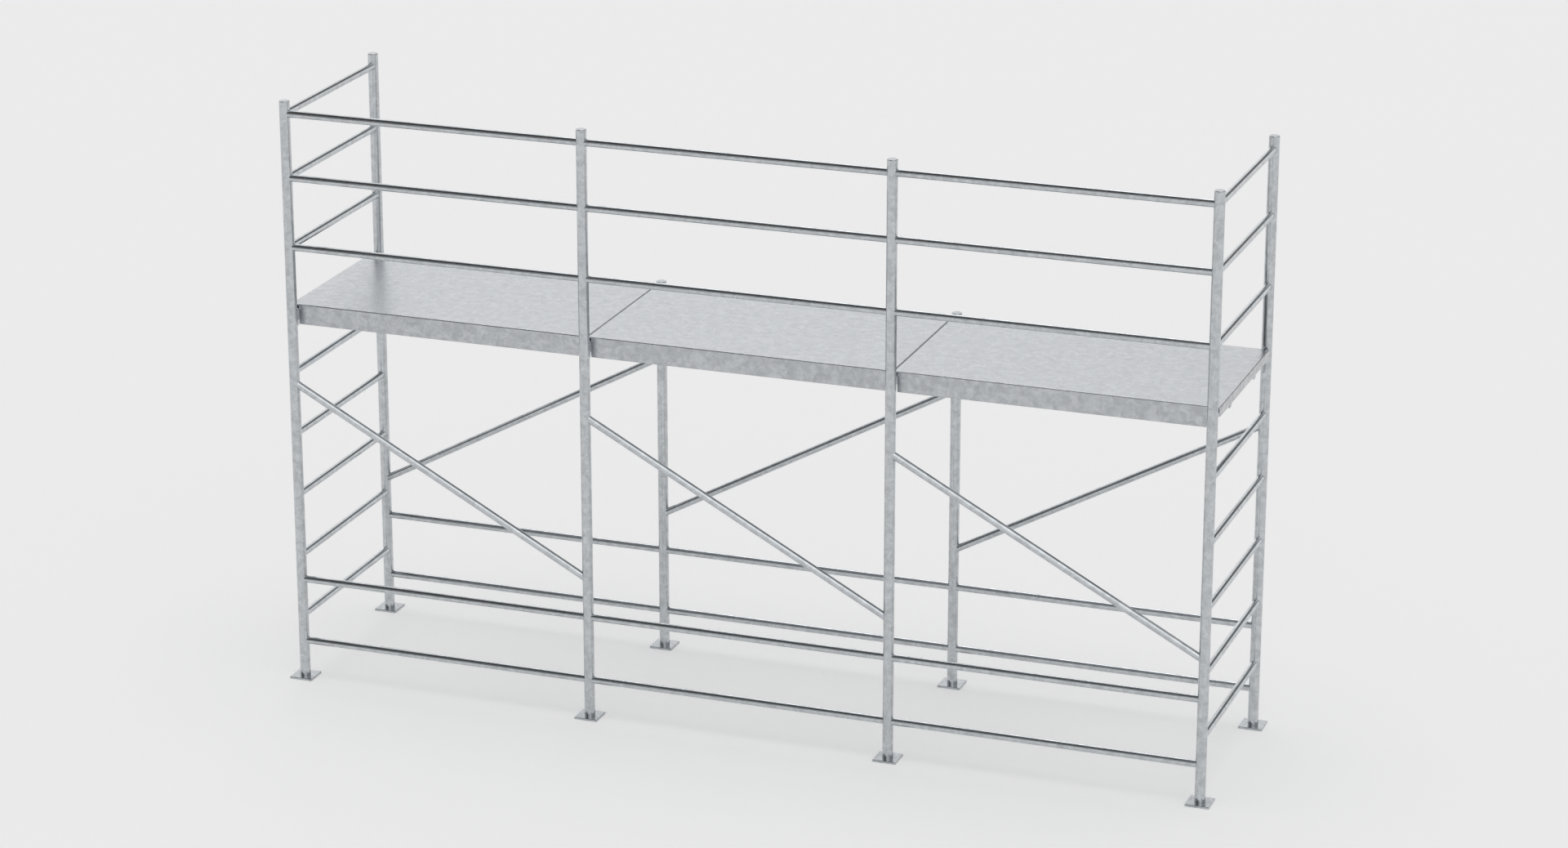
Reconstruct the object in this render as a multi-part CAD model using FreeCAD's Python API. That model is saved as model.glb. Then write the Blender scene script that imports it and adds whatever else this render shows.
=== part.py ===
"""Frame scaffold section: three equal bays, one deck level, guard rails on the front and the two ends.

Millimetres. +X runs along the three bays, +Y from the front row of posts to the back row, +Z is up.
The origin is the middle of the footprint, on the floor. One STEP file is written for each sub-part.
"""
import FreeCAD, Part
import math
import os

V = FreeCAD.Vector

# ---- driving dimensions -------------------------------------------------------------------------
BAYS = 3
BAY = 1450.0              # between post axes along the section
DEPTH = 940.0             # between the front and the back post axes

POST_R = 24.15            # 48.3 x 3.2 scaffold tube
POST_WALL = 3.2
POST_TOP = 2797.0         # top of the cap on a full-height post
SHORT_POST_TOP = 1829.0   # the two inner back posts stop just above the deck

RAIL_R = 16.85            # 33.7 x 2.6 tube, used for rungs, transoms, rails, ledgers and braces
RAIL_WALL = 2.6
RUNG_PITCH = 300.0
FIRST_RUNG = 310.0
LOW_RUNGS = 5             # below the deck
HIGH_LEVELS = (2109.0, 2437.0, 2737.0)    # rungs above the deck and the three guard rails
LEDGER_LEVELS = (185.0, 492.0)
BRACE_HIGH = 1458.0
BRACE_LOW = 675.0

PLATE_SIDE = 110.0
PLATE_T = 10.0
PLATE_CHAMFER = 1.2
PLATE_SPIGOT_R = 19.0
PLATE_SPIGOT_H = 80.0
PLATE_SPIGOT_WALL = 3.2

PLATE_GAP = 0.2           # between the plate and the end of the post, so that the foot can swivel

CAP_RIM = 5.0             # cap thickness above the end of the tube
CAP_PLUG = 14.0           # depth of the plug inside the tube
CAP_CHAMFER = 2.4
PLUG_CLEARANCE = 0.1

TRANSOM_Z = 1801.0
GUSSET_T = 5.0            # corner plate under each end of a transom, in the plane of the frame
GUSSET_REACH = 50.0       # from the post's wall
GUSSET_BOTTOM = 1716.0
GUSSET_CORNER = 14.0
DECK_TOP = 1826.0
DECK_BOTTOM = 1729.0
DECK_HALF_W = 433.0
SHEET = 2.0
LIP_BOTTOM = 1785.0       # the folded edge of the deck sheet
BEND_R = 5.5              # outer bend radius of the sheet
DECK_OVERHANG = 24.0      # how far the outer decks reach past the axis of the end transom
SEAM_HALF_GAP = 1.0
SEAM_LIP_BOTTOM = 1819.0

BEAM_T = 3.0
BEAM_FLANGE = 40.0
BEAM_BEND_R = 4.0
BEAM_START = 17.5         # a side beam's web, from the transom axis; it clears the tube as the deck lifts
END_FLANGE = 30.0
RIB_W = 30.0
RIB_H = 40.0
RIB_T = 2.5
RIBS = 3

CLAW_GAP = 0.3
CLAW_T = 4.0
CLAW_W = 32.0
CLAW_INNER_FOOT = 1765.0
CLAW_OUTER_FOOT = 1768.0
CLAW_TIP_BACK = 3.5       # a half claw stops this far short of the transom's centre line
CLAW_Y = (-245.0, 176.0)  # at the right end of a deck; the left end is the same end turned round

LOCK_PIVOT_U = 44.0       # pivot, measured inward from the transom axis
LOCK_Y = -35.0
LOCK_LENGTH = 55.0
LOCK_HUB_R = 10.0
LOCK_HALF_W = 9.0
LOCK_TIP_R = 5.4
LOCK_BOTTOM = 1776.5
LOCK_T = 5.0
LOCK_RIVET_R = 4.0
LOCK_HEAD_R = 8.0
LOCK_HEAD_T = 3.0
LOCK_GAP = 0.2            # between the finger, the shelf and the rivet's lower head
RIVET_FIT = 0.02          # the rivet in the finger
RIVET_CLEARANCE = 0.06    # the rivet in the shelf
SHELF_T = 4.0
SHELF_HALF_W = 18.0
SHELF_DEPTH = 34.0
SLOT_LOW = 1775.0
SLOT_HIGH = 1783.0
SLOT_CLEARANCE = 3.0

WELD_GAP = 0.05           # left between a saddle-cut end and the round wall it is welded to
SPIGOT_R = 13.9
SPIGOT_BORE_R = 10.0
SPIGOT_LENGTH = 60.0      # beyond the post's wall
PIN_AT = 60.0             # from the post axis
PIN_R = 3.0
PIN_CLEARANCE = 0.1
PIN_RECESS = 0.6          # below the tube's back and inside the spigot's front

CUT_MARGIN = 5.0          # how far cutting shapes reach past what they cut
NEAR = 0.01               # an edge this close to a position counts as lying on it
SHORT = 1.0               # edges shorter than this are left out when long ones are picked

# ---- derived ------------------------------------------------------------------------------------
POST_X = [(i - BAYS / 2.0) * BAY for i in range(BAYS + 1)]
FRONT_Y = -DEPTH / 2.0
BACK_Y = DEPTH / 2.0
RAIL_BORE_R = RAIL_R - RAIL_WALL
CLAW_IN_R = RAIL_R + CLAW_GAP
CLAW_OUT_R = CLAW_IN_R + CLAW_T
WEB_NEAR = CLAW_OUT_R               # outer face of a deck's end channel, from the transom axis
WEB_FAR = WEB_NEAR + BEAM_T
BEAM_TOP = DECK_TOP - SHEET
BEAM_HALF_W = DECK_HALF_W - SHEET


# ---- small helpers ------------------------------------------------------------------------------
def box(x0, x1, y0, y1, z0, z1):
    """Axis-aligned box between two corners given as ranges."""
    return Part.makeBox(x1 - x0, y1 - y0, z1 - z0, V(x0, y0, z0))


def rod(start, end, radius):
    """Solid round bar between two points."""
    run = end - start
    return Part.makeCylinder(radius, run.Length, start, run)


def post_core(x, y, radius):
    """Tall cylinder on a post axis, for cutting saddles."""
    return Part.makeCylinder(radius, POST_TOP + CUT_MARGIN, V(x, y, 0.0), V(0, 0, 1))


def both_posts(start, end, radius):
    """The two cylinders that a tube between two post axes is cut back to."""
    return post_core(start.x, start.y, radius).fuse(post_core(end.x, end.y, radius))


def single(shape):
    """The largest solid of a cut, without the waste that falls off its ends."""
    return max(shape.Solids, key=lambda solid: solid.Volume)


def middle_piece(shape, start, end):
    """The solid of a cut that holds the stretch between two posts."""
    middle = (start + end) * 0.5
    return min(shape.Solids, key=lambda solid: (solid.CenterOfMass - middle).Length)


def saddle_tube(start, end, bore_radius):
    """Hollow tube between two post axes, both ends cut to the posts' round walls."""
    outer = rod(start, end, RAIL_R)
    inner = rod(start, end, bore_radius)
    cores = both_posts(start, end, POST_R + WELD_GAP)
    return middle_piece(outer.cut(inner).cut(cores), start, end)


def edges_where(shape, test):
    """Edges of a shape whose bounding box passes a test."""
    return [edge for edge in shape.Edges if test(edge.BoundBox)]


def save(name, solids):
    """Write one node: one solid, or a group of separate ones."""
    shape = solids[0] if len(solids) == 1 else Part.makeCompound(solids)
    for solid in solids:
        if not solid.isValid() or solid.Volume <= 0.0:
            raise ValueError(name + " holds a bad solid")
    shape.exportStep(os.path.join("parts", name + ".step"))


# ---- posts, caps and base plates ----------------------------------------------------------------
def post(x, y, top):
    """One upright, open at both ends."""
    foot = PLATE_T + PLATE_GAP
    height = top - CAP_RIM - foot
    outer = Part.makeCylinder(POST_R, height, V(x, y, foot))
    inner = Part.makeCylinder(POST_R - POST_WALL, height, V(x, y, foot))
    return outer.cut(inner)


def post_cap(x, y, top):
    """Push-in end cap: a rim on the end of the tube and a plug in its bore."""
    rim = Part.makeCylinder(POST_R, CAP_RIM, V(x, y, top - CAP_RIM))
    rim = rim.makeChamfer(CAP_CHAMFER, edges_where(rim, lambda b: b.XLength > SHORT and b.ZMin > top - NEAR))
    plug = Part.makeCylinder(POST_R - POST_WALL - PLUG_CLEARANCE, CAP_PLUG, V(x, y, top - CAP_RIM - CAP_PLUG))
    return rim.fuse(plug).removeSplitter()


def base_plate(x, y):
    """Square steel foot with the short tube that locates the post."""
    half = PLATE_SIDE / 2.0
    plate = box(x - half, x + half, y - half, y + half, 0.0, PLATE_T)
    plate = plate.makeChamfer(PLATE_CHAMFER, edges_where(plate, lambda b: b.ZMin > PLATE_T - NEAR))
    outer = Part.makeCylinder(PLATE_SPIGOT_R, PLATE_SPIGOT_H, V(x, y, PLATE_T))
    inner = Part.makeCylinder(PLATE_SPIGOT_R - PLATE_SPIGOT_WALL, PLATE_SPIGOT_H, V(x, y, PLATE_T))
    return [plate, outer.cut(inner)]


def make_posts():
    caps = []
    for i, x in enumerate(POST_X):
        inner = 0 < i < BAYS
        back_top = SHORT_POST_TOP if inner else POST_TOP
        for side, y, top in (("front", FRONT_Y, POST_TOP), ("back", BACK_Y, back_top)):
            save("{}_post_{}".format(side, i + 1), [post(x, y, top)])
            save("base_plate_{}_{}".format(side, i + 1), base_plate(x, y))
            caps.append(post_cap(x, y, top))
    save("post_caps", caps)


# ---- welded cross tubes -------------------------------------------------------------------------
def gusset(x, y):
    """Flat corner plate between a post and the underside of its transom."""
    inward = 1.0 if y < 0.0 else -1.0
    inner_y = y + inward * (POST_R + GUSSET_REACH)
    outline = [(y, TRANSOM_Z), (y, GUSSET_BOTTOM), (inner_y - inward * GUSSET_CORNER, GUSSET_BOTTOM),
               (inner_y, GUSSET_BOTTOM + GUSSET_CORNER), (inner_y, TRANSOM_Z)]
    points = [V(x - GUSSET_T / 2.0, py, pz) for py, pz in outline + outline[:1]]
    plate = Part.Face(Part.makePolygon(points)).extrude(V(GUSSET_T, 0, 0))
    tube = rod(V(x, FRONT_Y, TRANSOM_Z), V(x, BACK_Y, TRANSOM_Z), RAIL_R + WELD_GAP)
    return single(plate.cut(post_core(x, y, POST_R + WELD_GAP)).cut(tube))


def make_rungs_and_transoms():
    levels = [FIRST_RUNG + RUNG_PITCH * k for k in range(LOW_RUNGS)] + list(HIGH_LEVELS)
    for name, x in (("left_end_rungs", POST_X[0]), ("right_end_rungs", POST_X[-1])):
        save(name, [saddle_tube(V(x, FRONT_Y, z), V(x, BACK_Y, z), RAIL_BORE_R) for z in levels])
    for i, x in enumerate(POST_X):
        tube = saddle_tube(V(x, FRONT_Y, TRANSOM_Z), V(x, BACK_Y, TRANSOM_Z), RAIL_BORE_R)
        save("deck_transom_{}".format(i + 1), [tube])
    save("transom_gussets", [gusset(x, y) for x in POST_X for y in (FRONT_Y, BACK_Y)])


# ---- rails, ledgers and braces, on spigots ------------------------------------------------------
def spigot_ends(start, end):
    """For each end of a tube: the point on the post axis and the direction into the bay."""
    along = (end - start).normalize()
    return ((start, along), (end, along * -1.0))


def reach(along, distance):
    """Length along a sloping tube that covers a level distance from the post axis."""
    return distance / math.hypot(along.x, along.y)


def pin_centre(origin, along):
    """Where a locking pin crosses the axis of its tube."""
    return origin + along * reach(along, PIN_AT)


def bay_tube(start, end):
    """Removable tube: hollow, saddle-cut, with a pin hole at the back of each end."""
    tube = saddle_tube(start, end, RAIL_BORE_R)
    for origin, along in spigot_ends(start, end):
        centre = pin_centre(origin, along)
        tube = tube.cut(rod(centre, centre + V(0, RAIL_R + CUT_MARGIN, 0), PIN_R + PIN_CLEARANCE))
    return single(tube)


def spigot(origin, along):
    """Stub welded to the post, which the end of a bay tube slides over."""
    length = reach(along, POST_R) + SPIGOT_LENGTH
    outer = rod(origin, origin + along * length, SPIGOT_R)
    inner = rod(origin, origin + along * length, SPIGOT_BORE_R)
    stub = outer.cut(inner).cut(post_core(origin.x, origin.y, POST_R + WELD_GAP))
    centre = pin_centre(origin, along)
    hole = rod(centre - V(0, RAIL_R, 0), centre + V(0, RAIL_R, 0), PIN_R + PIN_CLEARANCE)
    return single(stub.cut(hole))


def locking_pin(origin, along):
    """Headless pin from the back of a tube through its spigot."""
    centre = pin_centre(origin, along)
    return rod(centre - V(0, SPIGOT_R - PIN_RECESS, 0), centre + V(0, RAIL_R - PIN_RECESS, 0), PIN_R)


def make_bay_tubes():
    """Guard rails, ledgers and braces, with the spigots and pins that hold their ends."""
    spigots = {"rail": [], "ledger": [], "brace": []}
    pins = []

    def fit(start, end, family):
        for origin, along in spigot_ends(start, end):
            spigots[family].append(spigot(origin, along))
            pins.append(locking_pin(origin, along))
        return bay_tube(start, end)

    bays = list(zip(POST_X[:-1], POST_X[1:]))
    for level, z in zip(("lower", "middle", "top"), HIGH_LEVELS):
        save(level + "_guard_rails", [fit(V(a, FRONT_Y, z), V(b, FRONT_Y, z), "rail") for a, b in bays])
    for side, y in (("front", FRONT_Y), ("back", BACK_Y)):
        for level, z in zip(("lower", "upper"), LEDGER_LEVELS):
            tubes = [fit(V(a, y, z), V(b, y, z), "ledger") for a, b in bays]
            save("{}_{}_ledgers".format(side, level), tubes)
    for i, (a, b) in enumerate(bays):
        falling = fit(V(a, FRONT_Y, BRACE_HIGH), V(b, FRONT_Y, BRACE_LOW), "brace")
        rising = fit(V(a, BACK_Y, BRACE_LOW), V(b, BACK_Y, BRACE_HIGH), "brace")
        save("front_brace_{}".format(i + 1), [falling])
        save("back_brace_{}".format(i + 1), [rising])
    for family, stubs in spigots.items():
        save(family + "_spigots", stubs)
    save("locking_pins", pins)


# ---- decks --------------------------------------------------------------------------------------
class DeckEnd:
    """One end of a deck. u is measured from the transom axis into the deck; y is turned with the end."""

    def __init__(self, axis_x, inward, outer):
        self.axis_x = axis_x
        self.inward = inward          # +1 when the deck lies towards +X of this end
        self.outer = outer            # True at the two ends of the whole section
        self.turn = -inward           # the right-hand end is the pattern, the left one is turned round

    def x(self, u):
        return self.axis_x + self.inward * u

    def y(self, y):
        return y * self.turn

    def box(self, u0, u1, y0, y1, z0, z1):
        """Box in the end's own frame."""
        xs = sorted((self.x(u0), self.x(u1)))
        ys = sorted((self.y(y0), self.y(y1)))
        return box(xs[0], xs[1], ys[0], ys[1], z0, z1)


def deck_ends(index):
    left = DeckEnd(POST_X[index], 1.0, index == 0)
    right = DeckEnd(POST_X[index + 1], -1.0, index == BAYS - 1)
    return left, right


def rounded_block(x0, x1, half_w, z0, z1, radius, corners):
    """Block with rounded top edges; corners lists the end positions whose upright edges are rounded too."""
    block = box(x0, x1, -half_w, half_w, z0, z1)

    def wanted(bound):
        on_top = bound.ZMin > z1 - NEAR
        upright = bound.ZLength > SHORT and any(abs(bound.XMin - x) < NEAR for x in corners)
        return on_top or upright

    return block.makeFillet(radius, edges_where(block, wanted))


def deck_sheet(ends):
    """Folded top sheet: a lip along both sides, a short lip at a seam and a full one at an outer end."""
    left, right = ends
    x0 = left.x(-DECK_OVERHANG if left.outer else SEAM_HALF_GAP)
    x1 = right.x(-DECK_OVERHANG if right.outer else SEAM_HALF_GAP)
    corners = [x for x, end in ((x0, left), (x1, right)) if end.outer]
    inner_corners = [x + SHEET * end.inward for x, end in ((x0, left), (x1, right)) if end.outer]
    outer = rounded_block(x0, x1, DECK_HALF_W, LIP_BOTTOM, DECK_TOP, BEND_R, corners)
    inner = rounded_block(x0 + SHEET, x1 - SHEET, BEAM_HALF_W, LIP_BOTTOM - CUT_MARGIN, BEAM_TOP,
                          BEND_R - SHEET, inner_corners)
    sheet = outer.cut(inner)
    reach_y = DECK_HALF_W + CUT_MARGIN
    low = LIP_BOTTOM - CUT_MARGIN
    for end in ends:
        if end.outer:
            for side in (-1.0, 1.0):
                notch = sorted((side * (BEAM_HALF_W - CUT_MARGIN), side * reach_y))
                start = -DECK_OVERHANG + BEND_R
                cutter = end.box(start, BEAM_START, notch[0], notch[1], low, SEAM_LIP_BOTTOM)
                sheet = sheet.cut(cutter)
        else:
            cutter = end.box(0.0, BEAM_START, -reach_y, reach_y, low, SEAM_LIP_BOTTOM)
            sheet = sheet.cut(cutter)
    return single(sheet)


def side_beam(ends, side):
    """Channel under one long edge, open to the middle of the deck. Its web runs past the end channels."""
    left, right = ends
    x0 = left.x(BEAM_START)
    x1 = right.x(BEAM_START)
    outside = side * BEAM_HALF_W
    web_inner = side * (BEAM_HALF_W - BEAM_T)
    tip = side * (BEAM_HALF_W - BEAM_FLANGE)
    ys = sorted((outside, tip))
    beam = box(x0, x1, ys[0], ys[1], DECK_BOTTOM, BEAM_TOP)
    rounded = edges_where(beam, lambda b: b.XLength > SHORT and abs(b.YMin - outside) < NEAR)
    beam = beam.makeFillet(BEAM_BEND_R, rounded)
    ys = sorted((web_inner, tip - side * CUT_MARGIN))
    beam = beam.cut(box(x0, x1, ys[0], ys[1], DECK_BOTTOM + BEAM_T, BEAM_TOP - BEAM_T))
    for end in ends:
        xs = sorted((end.x(BEAM_START - CUT_MARGIN), end.x(WEB_FAR)))
        beam = beam.cut(box(xs[0], xs[1], ys[0], ys[1], DECK_BOTTOM - CUT_MARGIN, DECK_TOP))
    return single(beam)


def end_channel(end):
    """Channel across the end of a deck, which carries the claws and closes the side beams."""
    flange_half = BEAM_HALF_W - BEAM_FLANGE - BEAM_T
    web_half = BEAM_HALF_W - BEAM_T
    channel = end.box(WEB_NEAR, WEB_FAR, -web_half, web_half, DECK_BOTTOM, BEAM_TOP)
    for z in (DECK_BOTTOM, BEAM_TOP - BEAM_T):
        flange = end.box(WEB_FAR, WEB_FAR + END_FLANGE, -flange_half, flange_half, z, z + BEAM_T)
        channel = channel.fuse(flange)
    slot_end = LOCK_Y + LOCK_LENGTH + LOCK_HALF_W
    slot_start = LOCK_Y - LOCK_HALF_W - SLOT_CLEARANCE
    slot = end.box(WEB_NEAR - NEAR, WEB_FAR + NEAR, slot_start, slot_end, SLOT_LOW, SLOT_HIGH)
    return single(channel.cut(slot).removeSplitter())


def rib(x):
    """Inverted channel under the sheet, between the flanges of the side beams."""
    half = BEAM_HALF_W - BEAM_FLANGE
    outer = box(x - RIB_W / 2.0, x + RIB_W / 2.0, -half, half, BEAM_TOP - RIB_H, BEAM_TOP)
    hollow_half = RIB_W / 2.0 - RIB_T
    inner = box(x - hollow_half, x + hollow_half, -half, half, BEAM_TOP - RIB_H, BEAM_TOP - RIB_T)
    return outer.cut(inner)


def lock_shelf(end):
    """Small shelf behind the end channel that carries the wind lock's rivet."""
    top = LOCK_BOTTOM - LOCK_GAP
    low_y = LOCK_Y - SHELF_HALF_W
    high_y = LOCK_Y + SHELF_HALF_W
    shelf = end.box(WEB_FAR, WEB_FAR + SHELF_DEPTH, low_y, high_y, top - SHELF_T, top)
    pivot = V(end.x(LOCK_PIVOT_U), end.y(LOCK_Y), top - SHELF_T - CUT_MARGIN)
    return shelf.cut(Part.makeCylinder(LOCK_RIVET_R + RIVET_CLEARANCE, SHELF_T + 2.0 * CUT_MARGIN, pivot))


def claw(end, y):
    """Hook over the transom: a full one at an outer end, a half one where two decks meet."""
    axis = V(end.x(0.0), end.y(y) - CLAW_W / 2.0, TRANSOM_Z)
    along = V(0, 1, 0)
    bore = Part.makeCylinder(CLAW_IN_R, CLAW_W, axis, along)
    ring = Part.makeCylinder(CLAW_OUT_R, CLAW_W, axis, along).cut(bore)
    far = CLAW_OUT_R + CUT_MARGIN
    low_y = y - CLAW_W / 2.0
    high_y = y + CLAW_W / 2.0
    below = end.box(-far, far, low_y - CUT_MARGIN, high_y + CUT_MARGIN, TRANSOM_Z - far, TRANSOM_Z)
    inner_leg = end.box(CLAW_IN_R, CLAW_OUT_R, low_y, high_y, CLAW_INNER_FOOT, TRANSOM_Z)
    hook = ring.cut(below).fuse(inner_leg)
    if end.outer:
        outer_leg = end.box(-CLAW_OUT_R, -CLAW_IN_R, low_y, high_y, CLAW_OUTER_FOOT, TRANSOM_Z)
        hook = hook.fuse(outer_leg)
    else:
        spare = end.box(-far, CLAW_TIP_BACK, low_y - CUT_MARGIN, high_y + CUT_MARGIN,
                        TRANSOM_Z - NEAR, TRANSOM_Z + far)
        hook = hook.cut(spare)
    return single(hook.removeSplitter())


def wind_lock(end):
    """Flat finger on a rivet. It is drawn released, alongside the end channel."""
    pivot_x = end.x(LOCK_PIVOT_U)
    pivot_y = end.y(LOCK_Y)
    top = LOCK_BOTTOM + LOCK_T
    hub = Part.makeCylinder(LOCK_HUB_R, LOCK_T, V(pivot_x, pivot_y, LOCK_BOTTOM))
    near_u = LOCK_PIVOT_U - LOCK_HALF_W
    far_u = LOCK_PIVOT_U + LOCK_HALF_W
    finger = end.box(near_u, far_u, LOCK_Y, LOCK_Y + LOCK_LENGTH, LOCK_BOTTOM, top)
    tip_y = end.y(LOCK_Y + LOCK_LENGTH)
    tip_edges = edges_where(finger, lambda b: b.ZLength > SHORT and abs(b.YMin - tip_y) < NEAR)
    finger = finger.makeFillet(LOCK_TIP_R, tip_edges)
    bore = Part.makeCylinder(LOCK_RIVET_R + RIVET_FIT, LOCK_T, V(pivot_x, pivot_y, LOCK_BOTTOM))
    plate = hub.fuse(finger).removeSplitter().cut(bore)
    shelf_bottom = LOCK_BOTTOM - LOCK_GAP - SHELF_T
    shank_foot = shelf_bottom - LOCK_GAP - LOCK_HEAD_T
    low_head = Part.makeCylinder(LOCK_HEAD_R, LOCK_HEAD_T, V(pivot_x, pivot_y, shank_foot))
    shank = Part.makeCylinder(LOCK_RIVET_R, top - shank_foot, V(pivot_x, pivot_y, shank_foot))
    high_head = Part.makeCylinder(LOCK_HEAD_R, LOCK_HEAD_T, V(pivot_x, pivot_y, top))
    rivet = shank.fuse([low_head, high_head]).removeSplitter()
    return [plate, rivet]


def make_decks():
    for index in range(BAYS):
        ends = deck_ends(index)
        name = "deck_{}".format(index + 1)
        left, right = ends
        rib_span = right.x(0.0) - left.x(0.0)
        ribs = [rib(left.x(0.0) + rib_span * (k + 1) / (RIBS + 1)) for k in range(RIBS)]
        members = [end_channel(end) for end in ends] + ribs + [lock_shelf(end) for end in ends]
        save(name + "_sheet", [deck_sheet(ends)])
        save(name + "_side_beams", [side_beam(ends, side) for side in (-1.0, 1.0)])
        save(name + "_cross_members", members)
        save(name + "_claws", [claw(end, y) for end in ends for y in CLAW_Y])
        for side, end in zip(("left", "right"), ends):
            save("wind_lock_{}_{}".format(index + 1, side), wind_lock(end))


os.makedirs("parts", exist_ok=True)
make_posts()
make_rungs_and_transoms()
make_bay_tubes()
make_decks()
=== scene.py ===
import math

import bmesh
import bpy
from bpy.props import FloatProperty, FloatVectorProperty, PointerProperty
from bpy.types import Operator, Panel, PropertyGroup
from mathutils import Matrix, Vector


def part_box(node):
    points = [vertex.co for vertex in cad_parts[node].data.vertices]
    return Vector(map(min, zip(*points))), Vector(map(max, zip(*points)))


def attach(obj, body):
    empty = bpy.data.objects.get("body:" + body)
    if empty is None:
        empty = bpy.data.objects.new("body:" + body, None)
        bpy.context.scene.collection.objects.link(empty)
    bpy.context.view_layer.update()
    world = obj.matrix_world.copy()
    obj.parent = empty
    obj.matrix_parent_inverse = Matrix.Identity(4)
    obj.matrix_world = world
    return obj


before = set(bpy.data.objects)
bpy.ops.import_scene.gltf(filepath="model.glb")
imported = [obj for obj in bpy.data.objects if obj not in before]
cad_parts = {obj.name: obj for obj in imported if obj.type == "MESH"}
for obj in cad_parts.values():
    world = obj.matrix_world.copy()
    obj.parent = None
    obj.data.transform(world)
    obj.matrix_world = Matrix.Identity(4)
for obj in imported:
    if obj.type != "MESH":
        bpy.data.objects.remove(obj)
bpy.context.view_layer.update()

bl_info = {
    "name": "Frame scaffold section",
    "version": (1, 0, 0),
    "blender": (4, 5, 0),
    "location": "3D View > Sidebar > Scaffold",
    "description": "Finishes a three-bay frame scaffold section and sets up its studio",
    "category": "Object",
}

# Four frames make three bays, and each bay has one deck.
SIDES = ("front", "back")
FRAME_NUMBERS = range(1, 5)
BAY_NUMBERS = range(1, 4)
RUNGS_AT_AN_END = 8

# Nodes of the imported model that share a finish.
POSTS = [f"{side}_post_{n}" for side in SIDES for n in FRAME_NUMBERS]
BASE_PLATES = [f"base_plate_{side}_{n}" for side in SIDES for n in FRAME_NUMBERS]
RUNGS = ["left_end_rungs", "right_end_rungs"]
TRANSOMS = [f"deck_transom_{n}" for n in FRAME_NUMBERS] + ["transom_gussets"]
GUARD_RAILS = ["lower_guard_rails", "middle_guard_rails", "top_guard_rails"]
LEDGERS = [f"{side}_{level}_ledgers" for side in SIDES for level in ("lower", "upper")]
BRACES = [f"{side}_brace_{n}" for side in SIDES for n in BAY_NUMBERS]
SPIGOTS = ["rail_spigots", "ledger_spigots", "brace_spigots"]

# How far streaks in the zinc are drawn out along X, Y and Z.
TUBE_ALONG_X = (6.0, 1.0, 1.0)
TUBE_ALONG_Y = (1.0, 6.0, 1.0)
TUBE_ALONG_Z = (1.0, 1.0, 6.0)
ROLLED_SHEET = (5.0, 1.0, 1.0)
ROLLED_CHANNEL = (4.0, 1.0, 1.0)
EVEN = (1.0, 1.0, 1.0)

# The part of a noise pattern's range that a finish uses.
PATCH_BAND = (0.36, 0.64)
STREAK_BAND = (0.34, 0.66)
FULL_BAND = (0.30, 0.70)

# How finely a weld bead is made.
BEAD_SIDES = 8
RINGS_PER_PASS = 4
FEWEST_RING_STEPS = 24

# Sizes of weld beads: the straight beads' radius as a part of the ring beads', how far they stand
# off or are set in and the thickness and length of their tips as parts of their own radius, and
# the part of an upright's radius up to which a ring bead follows it.
GUSSET_BEAD = 0.7
DECK_BEAD = 0.8
GUSSET_BEAD_PROUD = 0.3
DECK_BEAD_PROUD = 0.6
DECK_CORNER_INSET = 0.4
TIP_THICKNESS = 0.45
TIP_LENGTH = 1.5
RING_EDGE = 0.999

# Distances in metres: a bead's run along a transom, just short of the corner plate's end, and the
# gaps beyond which two claws, or the plates of two frames, are told apart.
GUSSET_BEAD_RUN = 0.048
CLAW_GAP = 0.05
FRAME_GAP = 0.1

# Zones of the room's light: azimuth and elevation of the middle, inner edge and outer edge, in
# degrees. Azimuth 0 is +Y and 90 is +X.
RIGHT_SIDE = (60.0, 60.0, 10.0, 45.0)
UPPER_RIGHT = (110.0, 66.0, 6.0, 26.0)
DIM_CORNER = (-138.0, 54.0, 16.0, 30.0)
DIM_TOP = (-98.0, 73.0, 9.0, 24.0)
DIM_FOOT = (-138.0, 12.0, 10.0, 30.0)
LEFT_PANEL = (-85.0, 27.0, 9.0, 27.0)
BACK_PANEL = (-34.0, 36.0, 22.0, 36.0)
PANEL_CORE = (-20.0, 48.0, 6.0, 15.0)
DIM_GAP = (9.0, 25.0, 4.0, 19.0)
KEY_PANEL = (152.0, 44.0, 16.0, 36.0)

# The pale walls: their top in degrees, and where they end and are full as parts of it.
WALL_TOP = 14.0
WALL_FADE = (1.8, 0.4)

FLOOR_HALF_WIDTH = 60.0
CAMERA_REACH = 200.0


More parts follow.
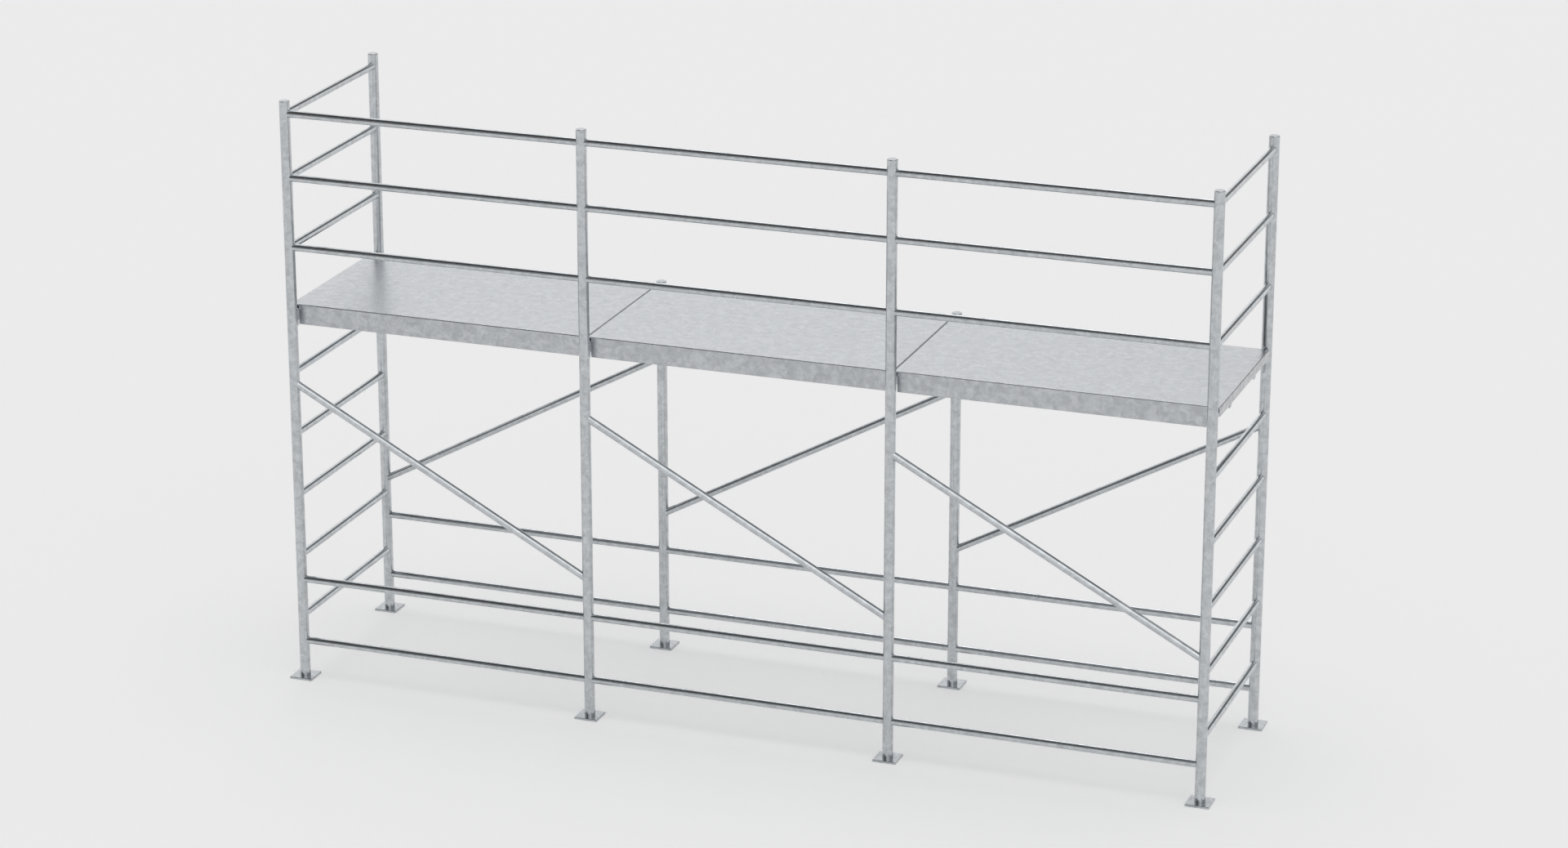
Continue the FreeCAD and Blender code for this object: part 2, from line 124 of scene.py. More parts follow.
# ---- settings a user would change ---------------------------------------------------------------
class ScaffoldZinc(PropertyGroup):
    tube_colour: FloatVectorProperty(
        name="Tube zinc", description="Base colour of the dip-galvanised tubes",
        subtype="COLOR", size=3, min=0.0, max=1.0, default=(0.55, 0.575, 0.595))
    sheet_colour: FloatVectorProperty(
        name="Sheet zinc", description="Base colour of the galvanised deck sheet",
        subtype="COLOR", size=3, min=0.0, max=1.0, default=(0.522, 0.539, 0.559))
    plate_colour: FloatVectorProperty(
        name="Base plate", description="Base colour of the dip-galvanised base plates",
        subtype="COLOR", size=3, min=0.0, max=1.0, default=(0.48, 0.50, 0.52))
    cap_colour: FloatVectorProperty(
        name="Post cap", description="Base colour of the pressed steel post caps",
        subtype="COLOR", size=3, min=0.0, max=1.0, default=(0.50, 0.52, 0.54))
    hardware_colour: FloatVectorProperty(
        name="Hardware", description="Base colour of the zinc-plated pins and wind locks",
        subtype="COLOR", size=3, min=0.0, max=1.0, default=(0.62, 0.64, 0.66))
    tube_roughness: FloatProperty(
        name="Tube roughness", description="Mean roughness of the tube zinc",
        min=0.05, max=0.9, default=0.18)
    sheet_roughness: FloatProperty(
        name="Sheet roughness", description="Mean roughness of the deck zinc",
        min=0.05, max=0.9, default=0.30)
    patch_size: FloatProperty(
        name="Zinc patch", description="Width of the pale and dark patches in the zinc",
        subtype="DISTANCE", unit="LENGTH", min=0.005, max=0.2, default=0.035)
    spangle_size: FloatProperty(
        name="Spangle", description="Width of one zinc crystal",
        subtype="DISTANCE", unit="LENGTH", min=0.002, max=0.05, default=0.009)


class ScaffoldWelds(PropertyGroup):
    bead_radius: FloatProperty(
        name="Bead radius", description="Radius of the fillet beads round the rungs and transoms",
        subtype="DISTANCE", unit="LENGTH", min=0.0005, max=0.006, default=0.0022)
    ripple: FloatProperty(
        name="Ripple", description="Swelling of the bead at each pass, as a part of its radius",
        min=0.0, max=0.5, default=0.14)
    ripple_pitch: FloatProperty(
        name="Ripple pitch", description="Distance between two passes of the bead",
        subtype="DISTANCE", unit="LENGTH", min=0.002, max=0.01, default=0.004)


class ScaffoldStage(PropertyGroup):
    floor_colour: FloatVectorProperty(
        name="Floor", description="Colour of the plain floor",
        subtype="COLOR", size=3, min=0.0, max=1.0, default=(0.90, 0.90, 0.90))
    lens: FloatProperty(
        name="Lens", description="Focal length in millimetres", min=20.0, max=300.0, default=100.91)
    camera_place: FloatVectorProperty(
        name="Camera", description="Where the camera stands", subtype="TRANSLATION", unit="LENGTH",
        size=3, default=(6.5475, -17.7904, 7.8052))
    camera_yaw: FloatProperty(
        name="Yaw", description="Turn of the camera from the +Y direction",
        subtype="ANGLE", unit="ROTATION", default=math.radians(20.045))
    camera_pitch: FloatProperty(
        name="Pitch", description="How far the camera looks down",
        subtype="ANGLE", unit="ROTATION", default=math.radians(18.783))
    room_light: FloatProperty(
        name="Room", description="Light of the plain upper room", min=0.0, default=0.55)
    wall_light: FloatProperty(
        name="Walls", description="Light of the pale walls", min=0.0, default=1.0)
    panel_light: FloatProperty(
        name="Panel", description="Light of the panel at the back left", min=0.0, default=1.0)
    key_light: FloatProperty(
        name="Key", description="Light of the panel at the front right", min=0.0, default=1.35)
    dim_light: FloatProperty(
        name="Dim", description="Light of the dim corner at the front left", min=0.0, default=0.05)
    fill_light: FloatProperty(
        name="Fill", description="Even light on matt surfaces", min=0.0, default=0.40)
    overhead_light: FloatProperty(
        name="Overhead", description="Strength of the wide overhead lamp", min=0.0, default=0.43)
    overhead_angle: FloatProperty(
        name="Overhead angle", description="Width of the overhead lamp, which softens shadows",
        subtype="ANGLE", unit="ROTATION", default=math.radians(60.0))
    floor_glow: FloatProperty(
        name="Floor glow", description="Brightness of the lit floor, which shadows keep",
        min=0.0, max=1.0, default=0.318)


# ---- materials ----------------------------------------------------------------------------------
class Recipe:
    """A node material with short helpers for the patterns that the zinc finishes share."""

    def __init__(self, name):
        self.material = bpy.data.materials.new(name)
        self.material.use_nodes = True
        self.tree = self.material.node_tree
        self.shader = self.tree.nodes["Principled BSDF"]
        self.object = self.node("ShaderNodeTexCoord").outputs["Object"]

    def node(self, kind, **values):
        made = self.tree.nodes.new(kind)
        for key, value in values.items():
            setattr(made, key, value)
        return made

    def link(self, out, into):
        self.tree.links.new(out, into)

    def mapped(self, scale):
        """Object coordinates times a scale."""
        mapping = self.node("ShaderNodeMapping")
        mapping.inputs["Scale"].default_value = scale
        self.link(self.object, mapping.inputs["Vector"])
        return mapping.outputs["Vector"]

    def noise(self, size, detail=3.0, roughness=0.55, stretch=EVEN, distortion=0.0):
        """Soft cloud of a size in metres, drawn out by stretch."""
        made = self.node("ShaderNodeTexNoise")
        made.inputs["Scale"].default_value = 1.0
        made.inputs["Detail"].default_value = detail
        made.inputs["Roughness"].default_value = roughness
        made.inputs["Distortion"].default_value = distortion
        self.link(self.mapped([1.0 / (size * s) for s in stretch]), made.inputs["Vector"])
        return made.outputs["Fac"]

    def crystals(self, size):
        """Two unrelated random values for each zinc crystal."""
        made = self.node("ShaderNodeTexVoronoi", feature="F1")
        made.inputs["Scale"].default_value = 1.0
        self.link(self.mapped([1.0 / size] * 3), made.inputs["Vector"])
        split = self.node("ShaderNodeSeparateColor")
        self.link(made.outputs["Color"], split.inputs["Color"])
        return split.outputs["Red"], split.outputs["Green"]

    def spread(self, fac, low, high, start=0.0, end=1.0):
        """Maps fac from start..end to low..high."""
        made = self.node("ShaderNodeMapRange")
        made.inputs["From Min"].default_value = start
        made.inputs["From Max"].default_value = end
        made.inputs["To Min"].default_value = low
        made.inputs["To Max"].default_value = high
        self.link(fac, made.inputs["Value"])
        return made.outputs["Result"]

    def blend(self, mode, a, b):
        """One step of arithmetic on two values, each a number or a socket."""
        made = self.node("ShaderNodeMath", operation=mode)
        for socket, value in zip(made.inputs, (a, b)):
            if isinstance(value, (int, float)):
                socket.default_value = value
            else:
                self.link(value, socket)
        return made.outputs["Value"]

    def calmed(self, pattern, share):
        """Pattern pulled towards its middle, so that only a share of it is left on level faces."""
        geometry = self.node("ShaderNodeNewGeometry")
        facing = self.node("ShaderNodeSeparateXYZ")
        self.link(geometry.outputs["True Normal"], facing.inputs["Vector"])
        levelness = self.blend("ABSOLUTE", facing.outputs["Z"], 0.0)
        kept = self.spread(levelness, 1.0, share, start=0.75, end=0.95)
        middle_grey = 0.5
        offset = self.blend("SUBTRACT", pattern, middle_grey)
        return self.blend("ADD", self.blend("MULTIPLY", offset, kept), middle_grey)

    def tint(self, value, colour):
        """Base colour of the shader: a colour times a grey value."""
        made = self.node("ShaderNodeVectorMath", operation="SCALE")
        made.inputs[0].default_value = colour
        self.link(value, made.inputs["Scale"])
        self.link(made.outputs["Vector"], self.shader.inputs["Base Color"])

    def bump(self, height, strength, distance):
        made = self.node("ShaderNodeBump")
        made.inputs["Strength"].default_value = strength
        made.inputs["Distance"].default_value = distance
        self.link(height, made.inputs["Height"])
        self.link(made.outputs["Normal"], self.shader.inputs["Normal"])


def zinc(name, colour, roughness, patch, spangle, contrast, streak=EVEN, wave=0.5, flat=None,
         grain=0.12):
    """Galvanised steel: soft pale and dark patches, faint crystals and streaks along the rolling.
    patch and spangle are sizes in metres. wave is the strength of the relief, flat how much of
    the patches is left on level faces, and grain the streaks' width as a part of a patch."""
    recipe = Recipe(name)
    recipe.shader.inputs["Metallic"].default_value = 1.0
    patches = recipe.noise(patch, detail=4.0, roughness=0.6, distortion=0.6)
    shade, dullness = recipe.crystals(spangle)
    streaks = recipe.noise(patch * grain, detail=3.0, roughness=0.65, stretch=streak)
    if flat is not None:
        patches = recipe.calmed(patches, flat)
    value = recipe.spread(patches, 1.0 - contrast, 1.0 + contrast * 0.7, *PATCH_BAND)
    value = recipe.blend("MULTIPLY", value, recipe.spread(shade, 0.965, 1.035))
    value = recipe.blend("MULTIPLY", value, recipe.spread(streaks, 0.96, 1.04, *STREAK_BAND))
    recipe.tint(value, colour)
    dull = recipe.spread(patches, roughness + 0.05, roughness - 0.04, *FULL_BAND)
    dull = recipe.blend("ADD", dull, recipe.spread(dullness, -0.03, 0.03))
    recipe.link(dull, recipe.shader.inputs["Roughness"])
    relief = recipe.spread(streaks, 0.0, 0.25)
    relief = recipe.blend("ADD", recipe.spread(patches, 0.0, 1.0), relief)
    recipe.bump(relief, strength=wave, distance=0.0006)
    return recipe.material


def coated(name, colour, size, detail, shade, dullness, strength, distance):
    """Small zinc-coated metal: one fine cloud drives its shade, its dullness and its relief."""
    recipe = Recipe(name)
    recipe.shader.inputs["Metallic"].default_value = 1.0
    cloud = recipe.noise(size, detail=detail)
    recipe.tint(recipe.spread(cloud, *shade, *FULL_BAND), colour)
    recipe.link(recipe.spread(cloud, *dullness, *FULL_BAND), recipe.shader.inputs["Roughness"])
    recipe.bump(cloud, strength, distance)
    return recipe.material


def shared(name, make, *values, **options):
    """One material of each name, made the first time that it is asked for."""
    return bpy.data.materials.get(name) or make(name, *values, **options)


def tube_zinc(context, streak=TUBE_ALONG_Z, name="upright tube zinc"):
    look = context.scene.scaffold_zinc
    return shared(name, zinc, look.tube_colour, look.tube_roughness, look.patch_size,
                  look.spangle_size, contrast=0.13, streak=streak)


def bead_zinc(context):
    """Zinc-coated weld bead, rougher than the tube."""
    return shared("weld bead zinc", coated, context.scene.scaffold_zinc.tube_colour, size=0.0035,
                  detail=4.0, shade=(0.78, 1.05), dullness=(0.50, 0.34), strength=0.5,
                  distance=0.0005)


def hardware_zinc(context):
    """Bright zinc plating on small hardware."""
    return shared("plated hardware", coated, context.scene.scaffold_zinc.hardware_colour,
                  size=0.008, detail=3.0, shade=(0.88, 1.08), dullness=(0.34, 0.22), strength=0.2,
                  distance=0.0002)


def dress(nodes, material):
    """Give carried-over nodes their finish."""
    for name in nodes:
        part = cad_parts[name]
        part.data.materials.clear()
        part.data.materials.append(material)


# ---- mesh helpers -------------------------------------------------------------------------------
def finish_piece(name, bm, material, body):
    """Turn a bmesh into a piece that rides on a body."""
    bmesh.ops.remove_doubles(bm, verts=bm.verts, dist=1e-6)
    bmesh.ops.recalc_face_normals(bm, faces=bm.faces)
    mesh = bpy.data.meshes.new(name)
    bm.to_mesh(mesh)
    bm.free()
    mesh.polygons.foreach_set("use_smooth", [True] * len(mesh.polygons))
    mesh.materials.append(material)
    piece = bpy.data.objects.new(name, mesh)
    bpy.context.scene.collection.objects.link(piece)
    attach(piece, body)
    return piece


def join(whole, part):
    """Add a bead that was made on its own to the whole, and free it."""
    mesh = bpy.data.meshes.new("bead")
    part.to_mesh(mesh)
    part.free()
    whole.from_mesh(mesh)
    bpy.data.meshes.remove(mesh)


def circle(bm, radius, matrix=Matrix()):
    """Rim of a bead in an empty bmesh: its vertices and its edges."""
    bmesh.ops.create_circle(bm, segments=BEAD_SIDES, radius=radius, matrix=matrix)
    return list(bm.verts), list(bm.edges)


def bead_ring(whole, centre, axis, radius, welds, saddle):
    """Rippled fillet bead round a tube. saddle is the radius of the upright it is welded to."""
    bm = bmesh.new()
    steps = max(FEWEST_RING_STEPS,
                RINGS_PER_PASS * round(2.0 * math.pi * radius / welds.ripple_pitch))
    upright = Matrix.Translation((radius, 0.0, 0.0)) @ Matrix.Rotation(math.pi / 2.0, 4, "X")
    rim, edges = circle(bm, welds.bead_radius, upright)
    bmesh.ops.spin(bm, geom=rim + edges, cent=(0, 0, 0), axis=(0, 0, 1),
                   angle=2.0 * math.pi, steps=steps, use_merge=True)
    passes = steps / RINGS_PER_PASS
    for vert in bm.verts:
        turn = math.atan2(vert.co.y, vert.co.x)
        core = Vector((math.cos(turn) * radius, math.sin(turn) * radius, 0.0))
        vert.co = core + (vert.co - core) * (1.0 + welds.ripple * math.cos(turn * passes))
    turned = axis.to_track_quat("Z", "Y").to_matrix().to_4x4()
    bmesh.ops.transform(bm, matrix=Matrix.Translation(centre) @ turned, verts=bm.verts)
    level = Vector((0.0, 0.0, 1.0)).cross(axis).normalized()
    for vert in bm.verts:
        aside = min(abs((vert.co - centre).dot(level)), saddle * RING_EDGE)
        vert.co += axis * math.sqrt(saddle * saddle - aside * aside)
    join(whole, bm)


def bead_line(whole, start, end, radius, welds):
    """Rippled straight bead between two points, thinner at its tips."""
    bm = bmesh.new()
    run = end - start
    rings = max(RINGS_PER_PASS, RINGS_PER_PASS * round(run.length / welds.ripple_pitch))
    bead, first = circle(bm, radius)
    front = first
    for _ in range(rings):
        out = bmesh.ops.extrude_edge_only(bm, edges=front)
        moved = [item for item in out["geom"] if isinstance(item, bmesh.types.BMVert)]
        front = [item for item in out["geom"] if isinstance(item, bmesh.types.BMEdge)
                 and all(vert in moved for vert in item.verts)]
        bmesh.ops.translate(bm, verts=moved, vec=(0.0, 0.0, run.length / rings))
        bead += moved
    bmesh.ops.holes_fill(bm, edges=first + front, sides=0)
    for vert in bead:
        phase = vert.co.z / welds.ripple_pitch * 2.0 * math.pi
        inside = min(vert.co.z, run.length - vert.co.z) / (radius * TIP_LENGTH)
        taper = TIP_THICKNESS + (1.0 - TIP_THICKNESS) * min(1.0, max(0.0, inside))
        swell = (1.0 + welds.ripple * math.cos(phase)) * taper
        vert.co.x *= swell
        vert.co.y *= swell
    turned = run.to_track_quat("Z", "Y").to_matrix().to_4x4()
    bmesh.ops.transform(bm, matrix=Matrix.Translation(start) @ turned, verts=bead)
    join(whole, bm)


def middle(node):
    """Middle of a node's box at rest."""
    low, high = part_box(node)
    return (low + high) / 2.0


def spans(node, axis, gap, keep=lambda place: True):
    """Stretches along an axis that a node's vertices fill, split wherever a gap opens."""
    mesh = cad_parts[node].data
    values = sorted({round(vert.co[axis], 5) for vert in mesh.vertices if keep(vert.co)})
    found = [[values[0], values[0]]]
    for value in values[1:]:
        if value - found[-1][1] > gap:
            found.append([value, value])
        found[-1][1] = value
    return found


# ---- operators: the frame -----------------------------------------------------------------------
class SCAFFOLD_OT_uprights(Operator):
    """Finish the front and back posts"""
    bl_idname = "scaffold.uprights"
    bl_label = "Posts"

    def execute(self, context):
        dress(POSTS, tube_zinc(context))
        return {"FINISHED"}


class SCAFFOLD_OT_cross_tubes(Operator):
    """Finish the rungs and the deck transoms"""
    bl_idname = "scaffold.cross_tubes"
    bl_label = "Rungs and transoms"

    def execute(self, context):
        dress(RUNGS + TRANSOMS, tube_zinc(context, TUBE_ALONG_Y, "cross tube zinc"))
        return {"FINISHED"}


class SCAFFOLD_OT_bay_tubes(Operator):
    """Finish the guard rails, ledgers and braces, and the spigots and pins inside their ends"""
    bl_idname = "scaffold.bay_tubes"
    bl_label = "Rails, ledgers and braces"

    def execute(self, context):
        dress(GUARD_RAILS + LEDGERS + BRACES, tube_zinc(context, TUBE_ALONG_X, "bay tube zinc"))
        dress(SPIGOTS, tube_zinc(context))
        dress(["locking_pins"], hardware_zinc(context))
        return {"FINISHED"}


class SCAFFOLD_OT_base_plates(Operator):
    """Finish the swivelling base plates"""
    bl_idname = "scaffold.base_plates"
    bl_label = "Base plates"

    def execute(self, context):
        look = context.scene.scaffold_zinc
        dress(BASE_PLATES, shared("base plate zinc", zinc, look.plate_colour,
                                  look.tube_roughness + 0.02, look.patch_size * 0.7,
                                  look.spangle_size, contrast=0.16))
        return {"FINISHED"}


class SCAFFOLD_OT_post_caps(Operator):
    """Finish the pressed steel caps of the posts"""
    bl_idname = "scaffold.post_caps"
    bl_label = "Post caps"

    def execute(self, context):
        look = context.scene.scaffold_zinc
        dress(["post_caps"], shared("post cap zinc", zinc, look.cap_colour,
                                    look.tube_roughness + 0.04, look.patch_size * 0.4,
                                    look.spangle_size * 0.6, contrast=0.10))
        return {"FINISHED"}


class SCAFFOLD_OT_frame_welds(Operator):
    """Lay beads round both ends of every rung and transom, and along the corner plates"""
    bl_idname = "scaffold.frame_welds"
    bl_label = "Rung and transom welds"

    def execute(self, context):
        welds = context.scene.scaffold_welds
        low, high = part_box("deck_transom_1")
        tube_radius = (high.z - low.z) / 2.0
        post_low, post_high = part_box("front_post_1")
        post_radius = (post_high.x - post_low.x) / 2.0
        front = middle("front_post_1").y
        back = middle("back_post_1").y
        levels = [(bottom + top) / 2.0 for bottom, top in spans("left_end_rungs", 2, tube_radius)]
        if len(levels) != RUNGS_AT_AN_END:
            raise RuntimeError(
                f"expected {RUNGS_AT_AN_END} rungs at the left end, found {len(levels)}")
        groups = {
            "left_rung_welds": ("left_end_rungs", levels),
            "right_rung_welds": ("right_end_rungs", levels),
        }
        for number in FRAME_NUMBERS:
            node = f"deck_transom_{number}"
            groups[f"{node}_welds"] = (node, [middle(node).z])
        for name, (node, heights) in groups.items():
            bm = bmesh.new()
            x = middle(node).x
            for z in heights:
                for y, inward in ((front, 1.0), (back, -1.0)):
                    bead_ring(bm, Vector((x, y, z)), Vector((0.0, inward, 0.0)), tube_radius,
                              welds, post_radius)
            finish_piece(name, bm, bead_zinc(context), "frame")
        self.gusset_beads(context, welds, post_radius, tube_radius)
        return {"FINISHED"}

    def gusset_beads(self, context, welds, post_radius, tube_radius):
        """Beads on both faces of the corner plates, down the posts and along the transoms."""
        radius = welds.bead_radius * GUSSET_BEAD
        proud = radius * GUSSET_BEAD_PROUD
        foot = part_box("transom_gussets")[0].z
        plates = spans("transom_gussets", 0, FRAME_GAP)
        bm = bmesh.new()
        for number in FRAME_NUMBERS:
            axis = middle(f"deck_transom_{number}")
            faces = next(span for span in plates if abs(span[0] - axis.x) < FRAME_GAP)
            for side, inward in (("front", 1.0), ("back", -1.0)):
                wall = middle(f"{side}_post_{number}").y + inward * (post_radius + proud)
                reach = wall + inward * GUSSET_BEAD_RUN
                top = axis.z - tube_radius - proud
                for x in faces:
                    corner = Vector((x, wall, top))
                    bead_line(bm, Vector((x, wall, foot + radius)), corner, radius, welds)
                    bead_line(bm, corner, Vector((x, reach, top)), radius, welds)
        finish_piece("gusset_welds", bm, bead_zinc(context), "frame")


# ---- operators: the decks -----------------------------------------------------------------------
class SCAFFOLD_OT_decks(Operator):
    """Finish the deck sheets and the steelwork under them"""
    bl_idname = "scaffold.decks"
    bl_label = "Decks"

    def execute(self, context):
        look = context.scene.scaffold_zinc
        base = (look.sheet_colour, look.sheet_roughness, look.patch_size, look.spangle_size)
        sheet = shared("deck sheet zinc", zinc, *base, contrast=0.13, streak=ROLLED_SHEET,
                       wave=0.3, flat=0.60, grain=0.45)
        steelwork = shared("deck steelwork zinc", zinc, *base, contrast=0.13,
                           streak=ROLLED_CHANNEL, wave=0.4, grain=0.3)
        for number in BAY_NUMBERS:
            dress([f"deck_{number}_sheet"], sheet)
            dress([f"deck_{number}_{part}" for part in ("side_beams", "cross_members", "claws")],
                  steelwork)
        return {"FINISHED"}


class SCAFFOLD_OT_deck_welds(Operator):
    """Lay the upright beads that hold the claws and close the corners at both ends of each deck"""
    bl_idname = "scaffold.deck_welds"
    bl_label = "Deck welds"

    def execute(self, context):
        welds = context.scene.scaffold_welds
        radius = welds.bead_radius * DECK_BEAD
        claw_top = middle("deck_transom_1").z
        for number in BAY_NUMBERS:
            low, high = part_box(f"deck_{number}_cross_members")
            claw_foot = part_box(f"deck_{number}_claws")[0].z
            centre = (low.x + high.x) / 2.0
            inset = radius * DECK_CORNER_INSET
            bm = bmesh.new()
            for web, outward in ((low.x, -1.0), (high.x, 1.0)):
                claws = spans(f"deck_{number}_claws", 1, CLAW_GAP,
                              lambda place: (place.x - centre) * outward > 0.0)
                if len(claws) != 2:
                    raise RuntimeError(
                        f"expected two claws at each end of deck {number}, found {len(claws)}")
                x = web + outward * radius * DECK_BEAD_PROUD
                beads = [(y, claw_foot, claw_top) for pair in claws for y in pair]
                beads += [(low.y + inset, low.z, high.z), (high.y - inset, low.z, high.z)]
                for y, foot, top in beads:
                    bead_line(bm, Vector((x, y, foot + radius)), Vector((x, y, top - radius)),
                              radius, welds)
            finish_piece(f"deck_{number}_welds", bm, bead_zinc(context), f"deck_{number}")
        return {"FINISHED"}


class SCAFFOLD_OT_wind_locks(Operator):
    """Finish the wind locks under the deck ends"""
    bl_idname = "scaffold.wind_locks"
    bl_label = "Wind locks"

    def execute(self, context):
        dress([f"wind_lock_{n}_{side}" for n in BAY_NUMBERS for side in ("left", "right")],
              hardware_zinc(context))
        return {"FINISHED"}


# ---- operator: the stage ------------------------------------------------------------------------
class Dome:
    """World shader of soft-edged zones of light by direction. A later zone covers earlier ones."""

    def __init__(self, context, name):
        world = bpy.data.worlds.new(name)
        context.scene.world = world
        world.use_nodes = True
        self.tree = world.node_tree
        self.background = self.tree.nodes["Background"]
        coordinates = self.tree.nodes.new("ShaderNodeTexCoord")
        self.direction = coordinates.outputs["Generated"]
        split = self.tree.nodes.new("ShaderNodeSeparateXYZ")
        self.tree.links.new(self.direction, split.inputs["Vector"])
        self.height = split.outputs["Z"]

    def step(self, value, start, end):
        """Smooth 0 to 1 as value goes from start to end."""
        made = self.tree.nodes.new("ShaderNodeMapRange")
        made.interpolation_type = "SMOOTHERSTEP"
        made.inputs["From Min"].default_value = min(start, end)
        made.inputs["From Max"].default_value = max(start, end)
        made.inputs["To Min"].default_value = 0.0 if start < end else 1.0
        made.inputs["To Max"].default_value = 1.0 if start < end else 0.0
        self.tree.links.new(value, made.inputs["Value"])
        return made.outputs["Result"]

    def mix(self, mask, low, high):
        """low where the mask is 0, high where it is 1."""
        made = self.tree.nodes.new("ShaderNodeMix")
        made.data_type = "FLOAT"
        self.tree.links.new(mask, made.inputs["Factor"])
        for socket, value in ((made.inputs["A"], low), (made.inputs["B"], high)):
            if isinstance(value, (int, float)):
                socket.default_value = value
            else:
                self.tree.links.new(value, socket)
        return made.outputs["Result"]

    def patch(self, level, zone, value):
        """Round soft-edged zone that takes the level to a value."""
        turn, rise, inner, outer = (math.radians(angle) for angle in zone)
        towards = self.tree.nodes.new("ShaderNodeVectorMath")
        towards.operation = "DOT_PRODUCT"
        towards.inputs[1].default_value = (
            math.sin(turn) * math.cos(rise), math.cos(turn) * math.cos(rise), math.sin(rise))
        self.tree.links.new(self.direction, towards.inputs[0])
        mask = self.step(towards.outputs["Value"], math.cos(outer), math.cos(inner))
        return self.mix(mask, level, value)

    def walls(self, level, value, top):
        """Band of light from the floor up to an elevation in degrees, with a soft upper edge."""
        start, end = (math.sin(math.radians(top * part)) for part in WALL_FADE)
        mask = self.step(self.height, start, end)
        return self.mix(mask, level, value)

    def finish(self, level, fill):
        """Reflections see the zones. Matt surfaces get an even fill."""
        path = self.tree.nodes.new("ShaderNodeLightPath")
        level = self.mix(path.outputs["Is Diffuse Ray"], level, fill)
        self.tree.links.new(level, self.background.inputs["Color"])


def studio_dome(context):
    """Pale room with a panel at the front right and another at the back left, and dim corners."""
    stage = context.scene.scaffold_stage
    room, dim, panel = stage.room_light, stage.dim_light, stage.panel_light
    dome = Dome(context, "studio dome")
    level = dome.patch(room, RIGHT_SIDE, room * 0.95)
    level = dome.patch(level, UPPER_RIGHT, room * 1.25)
    level = dome.walls(level, stage.wall_light, WALL_TOP)
    level = dome.patch(level, DIM_CORNER, dim)
    level = dome.patch(level, DIM_TOP, dim * 1.6)
    level = dome.patch(level, DIM_FOOT, dim * 2.6)
    level = dome.patch(level, LEFT_PANEL, panel * 0.75)
    level = dome.patch(level, BACK_PANEL, panel)
    level = dome.patch(level, PANEL_CORE, panel * 2.6)
    level = dome.patch(level, DIM_GAP, dim * 2.5)
    level = dome.patch(level, KEY_PANEL, stage.key_light)
    dome.finish(level, stage.fill_light)


def overhead_lamp(context):
    """Wide lamp straight overhead that lights the floor. It is left out of reflections."""
    stage = context.scene.scaffold_stage
    lamp = bpy.data.lights.new("wide overhead lamp", "SUN")
    lamp.energy = stage.overhead_light
    lamp.angle = stage.overhead_angle
    sun = bpy.data.objects.new("wide overhead lamp", lamp)
    sun.visible_glossy = False
    context.scene.collection.objects.link(sun)


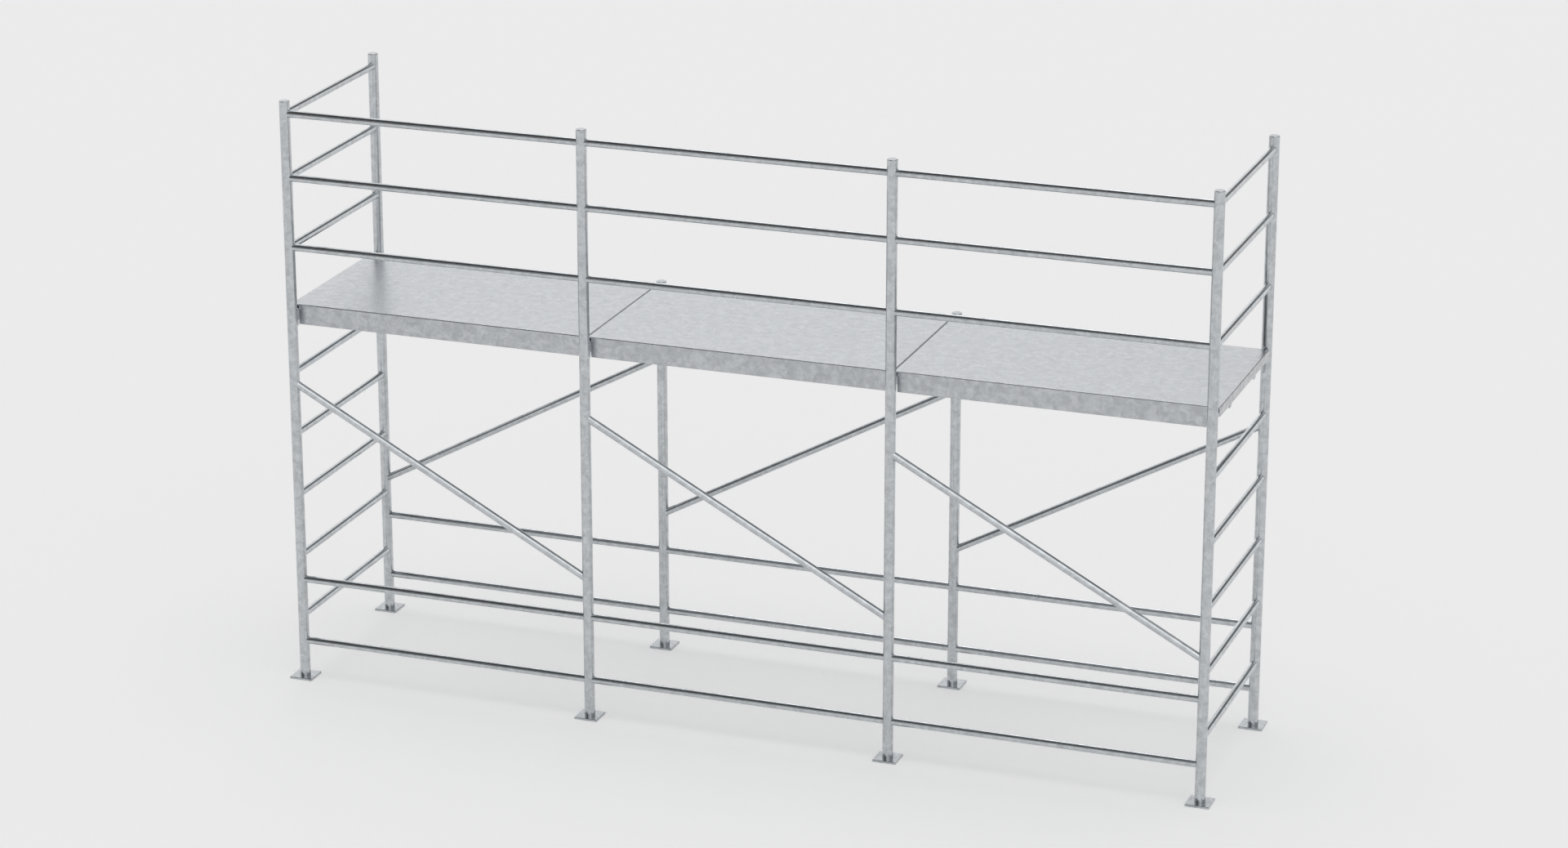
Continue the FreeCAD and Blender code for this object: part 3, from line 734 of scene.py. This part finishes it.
class SCAFFOLD_OT_stage(Operator):
    """Set up the floor, the studio light and the camera"""
    bl_idname = "scaffold.stage"
    bl_label = "Stage"

    def execute(self, context):
        stage = context.scene.scaffold_stage
        self.floor(context, stage)
        studio_dome(context)
        overhead_lamp(context)
        context.scene.view_settings.view_transform = "Standard"
        self.camera(context, stage)
        return {"FINISHED"}

    def floor(self, context, stage):
        """Plain pale floor with no gloss and a faint glow of its own."""
        bm = bmesh.new()
        bmesh.ops.create_grid(bm, x_segments=1, y_segments=1, size=FLOOR_HALF_WIDTH)
        mesh = bpy.data.meshes.new("studio_floor")
        bm.to_mesh(mesh)
        bm.free()
        recipe = Recipe("studio floor paint")
        recipe.shader.inputs["Roughness"].default_value = 0.7
        recipe.shader.inputs["Specular IOR Level"].default_value = 0.0
        recipe.shader.inputs["Emission Color"].default_value = (1.0, 1.0, 1.0, 1.0)
        recipe.shader.inputs["Emission Strength"].default_value = stage.floor_glow
        mottle = recipe.noise(1.5, detail=1.0)
        recipe.tint(recipe.spread(mottle, 0.998, 1.002), stage.floor_colour)
        mesh.materials.append(recipe.material)
        floor = bpy.data.objects.new("studio_floor", mesh)
        context.scene.collection.objects.link(floor)

    def camera(self, context, stage):
        """Camera at the place, turn and lens of the settings."""
        lens = bpy.data.cameras.new("studio camera")
        lens.sensor_width = 36.0
        lens.lens = stage.lens
        lens.clip_end = CAMERA_REACH
        camera = bpy.data.objects.new("studio camera", lens)
        camera.location = stage.camera_place
        camera.rotation_euler = (math.pi / 2.0 - stage.camera_pitch, 0.0, stage.camera_yaw)
        context.scene.collection.objects.link(camera)
        context.scene.camera = camera


# ---- panel and registration ---------------------------------------------------------------------
STEPS = (
    SCAFFOLD_OT_uprights, SCAFFOLD_OT_cross_tubes, SCAFFOLD_OT_bay_tubes, SCAFFOLD_OT_base_plates,
    SCAFFOLD_OT_post_caps, SCAFFOLD_OT_frame_welds, SCAFFOLD_OT_decks, SCAFFOLD_OT_deck_welds,
    SCAFFOLD_OT_wind_locks, SCAFFOLD_OT_stage,
)


class SCAFFOLD_PT_sidebar(Panel):
    bl_idname = "SCAFFOLD_PT_sidebar"
    bl_label = "Frame scaffold section"
    bl_space_type = "VIEW_3D"
    bl_region_type = "UI"
    bl_category = "Scaffold"

    def draw(self, context):
        layout = self.layout
        scene = context.scene
        for group in (scene.scaffold_zinc, scene.scaffold_welds, scene.scaffold_stage):
            column = layout.column(align=True)
            for name in group.__annotations__:
                column.prop(group, name)
        column = layout.column(align=True)
        for step in STEPS:
            column.operator(step.bl_idname)


CLASSES = (ScaffoldZinc, ScaffoldWelds, ScaffoldStage) + STEPS + (SCAFFOLD_PT_sidebar,)


def register():
    for cls in CLASSES:
        bpy.utils.register_class(cls)
    bpy.types.Scene.scaffold_zinc = PointerProperty(type=ScaffoldZinc)
    bpy.types.Scene.scaffold_welds = PointerProperty(type=ScaffoldWelds)
    bpy.types.Scene.scaffold_stage = PointerProperty(type=ScaffoldStage)


def unregister():
    del bpy.types.Scene.scaffold_stage
    del bpy.types.Scene.scaffold_welds
    del bpy.types.Scene.scaffold_zinc
    for cls in reversed(CLASSES):
        bpy.utils.unregister_class(cls)


def main():
    register()
    for step in STEPS:
        group, name = step.bl_idname.split(".")
        getattr(getattr(bpy.ops, group), name)()


if __name__ == "__main__":
    main()
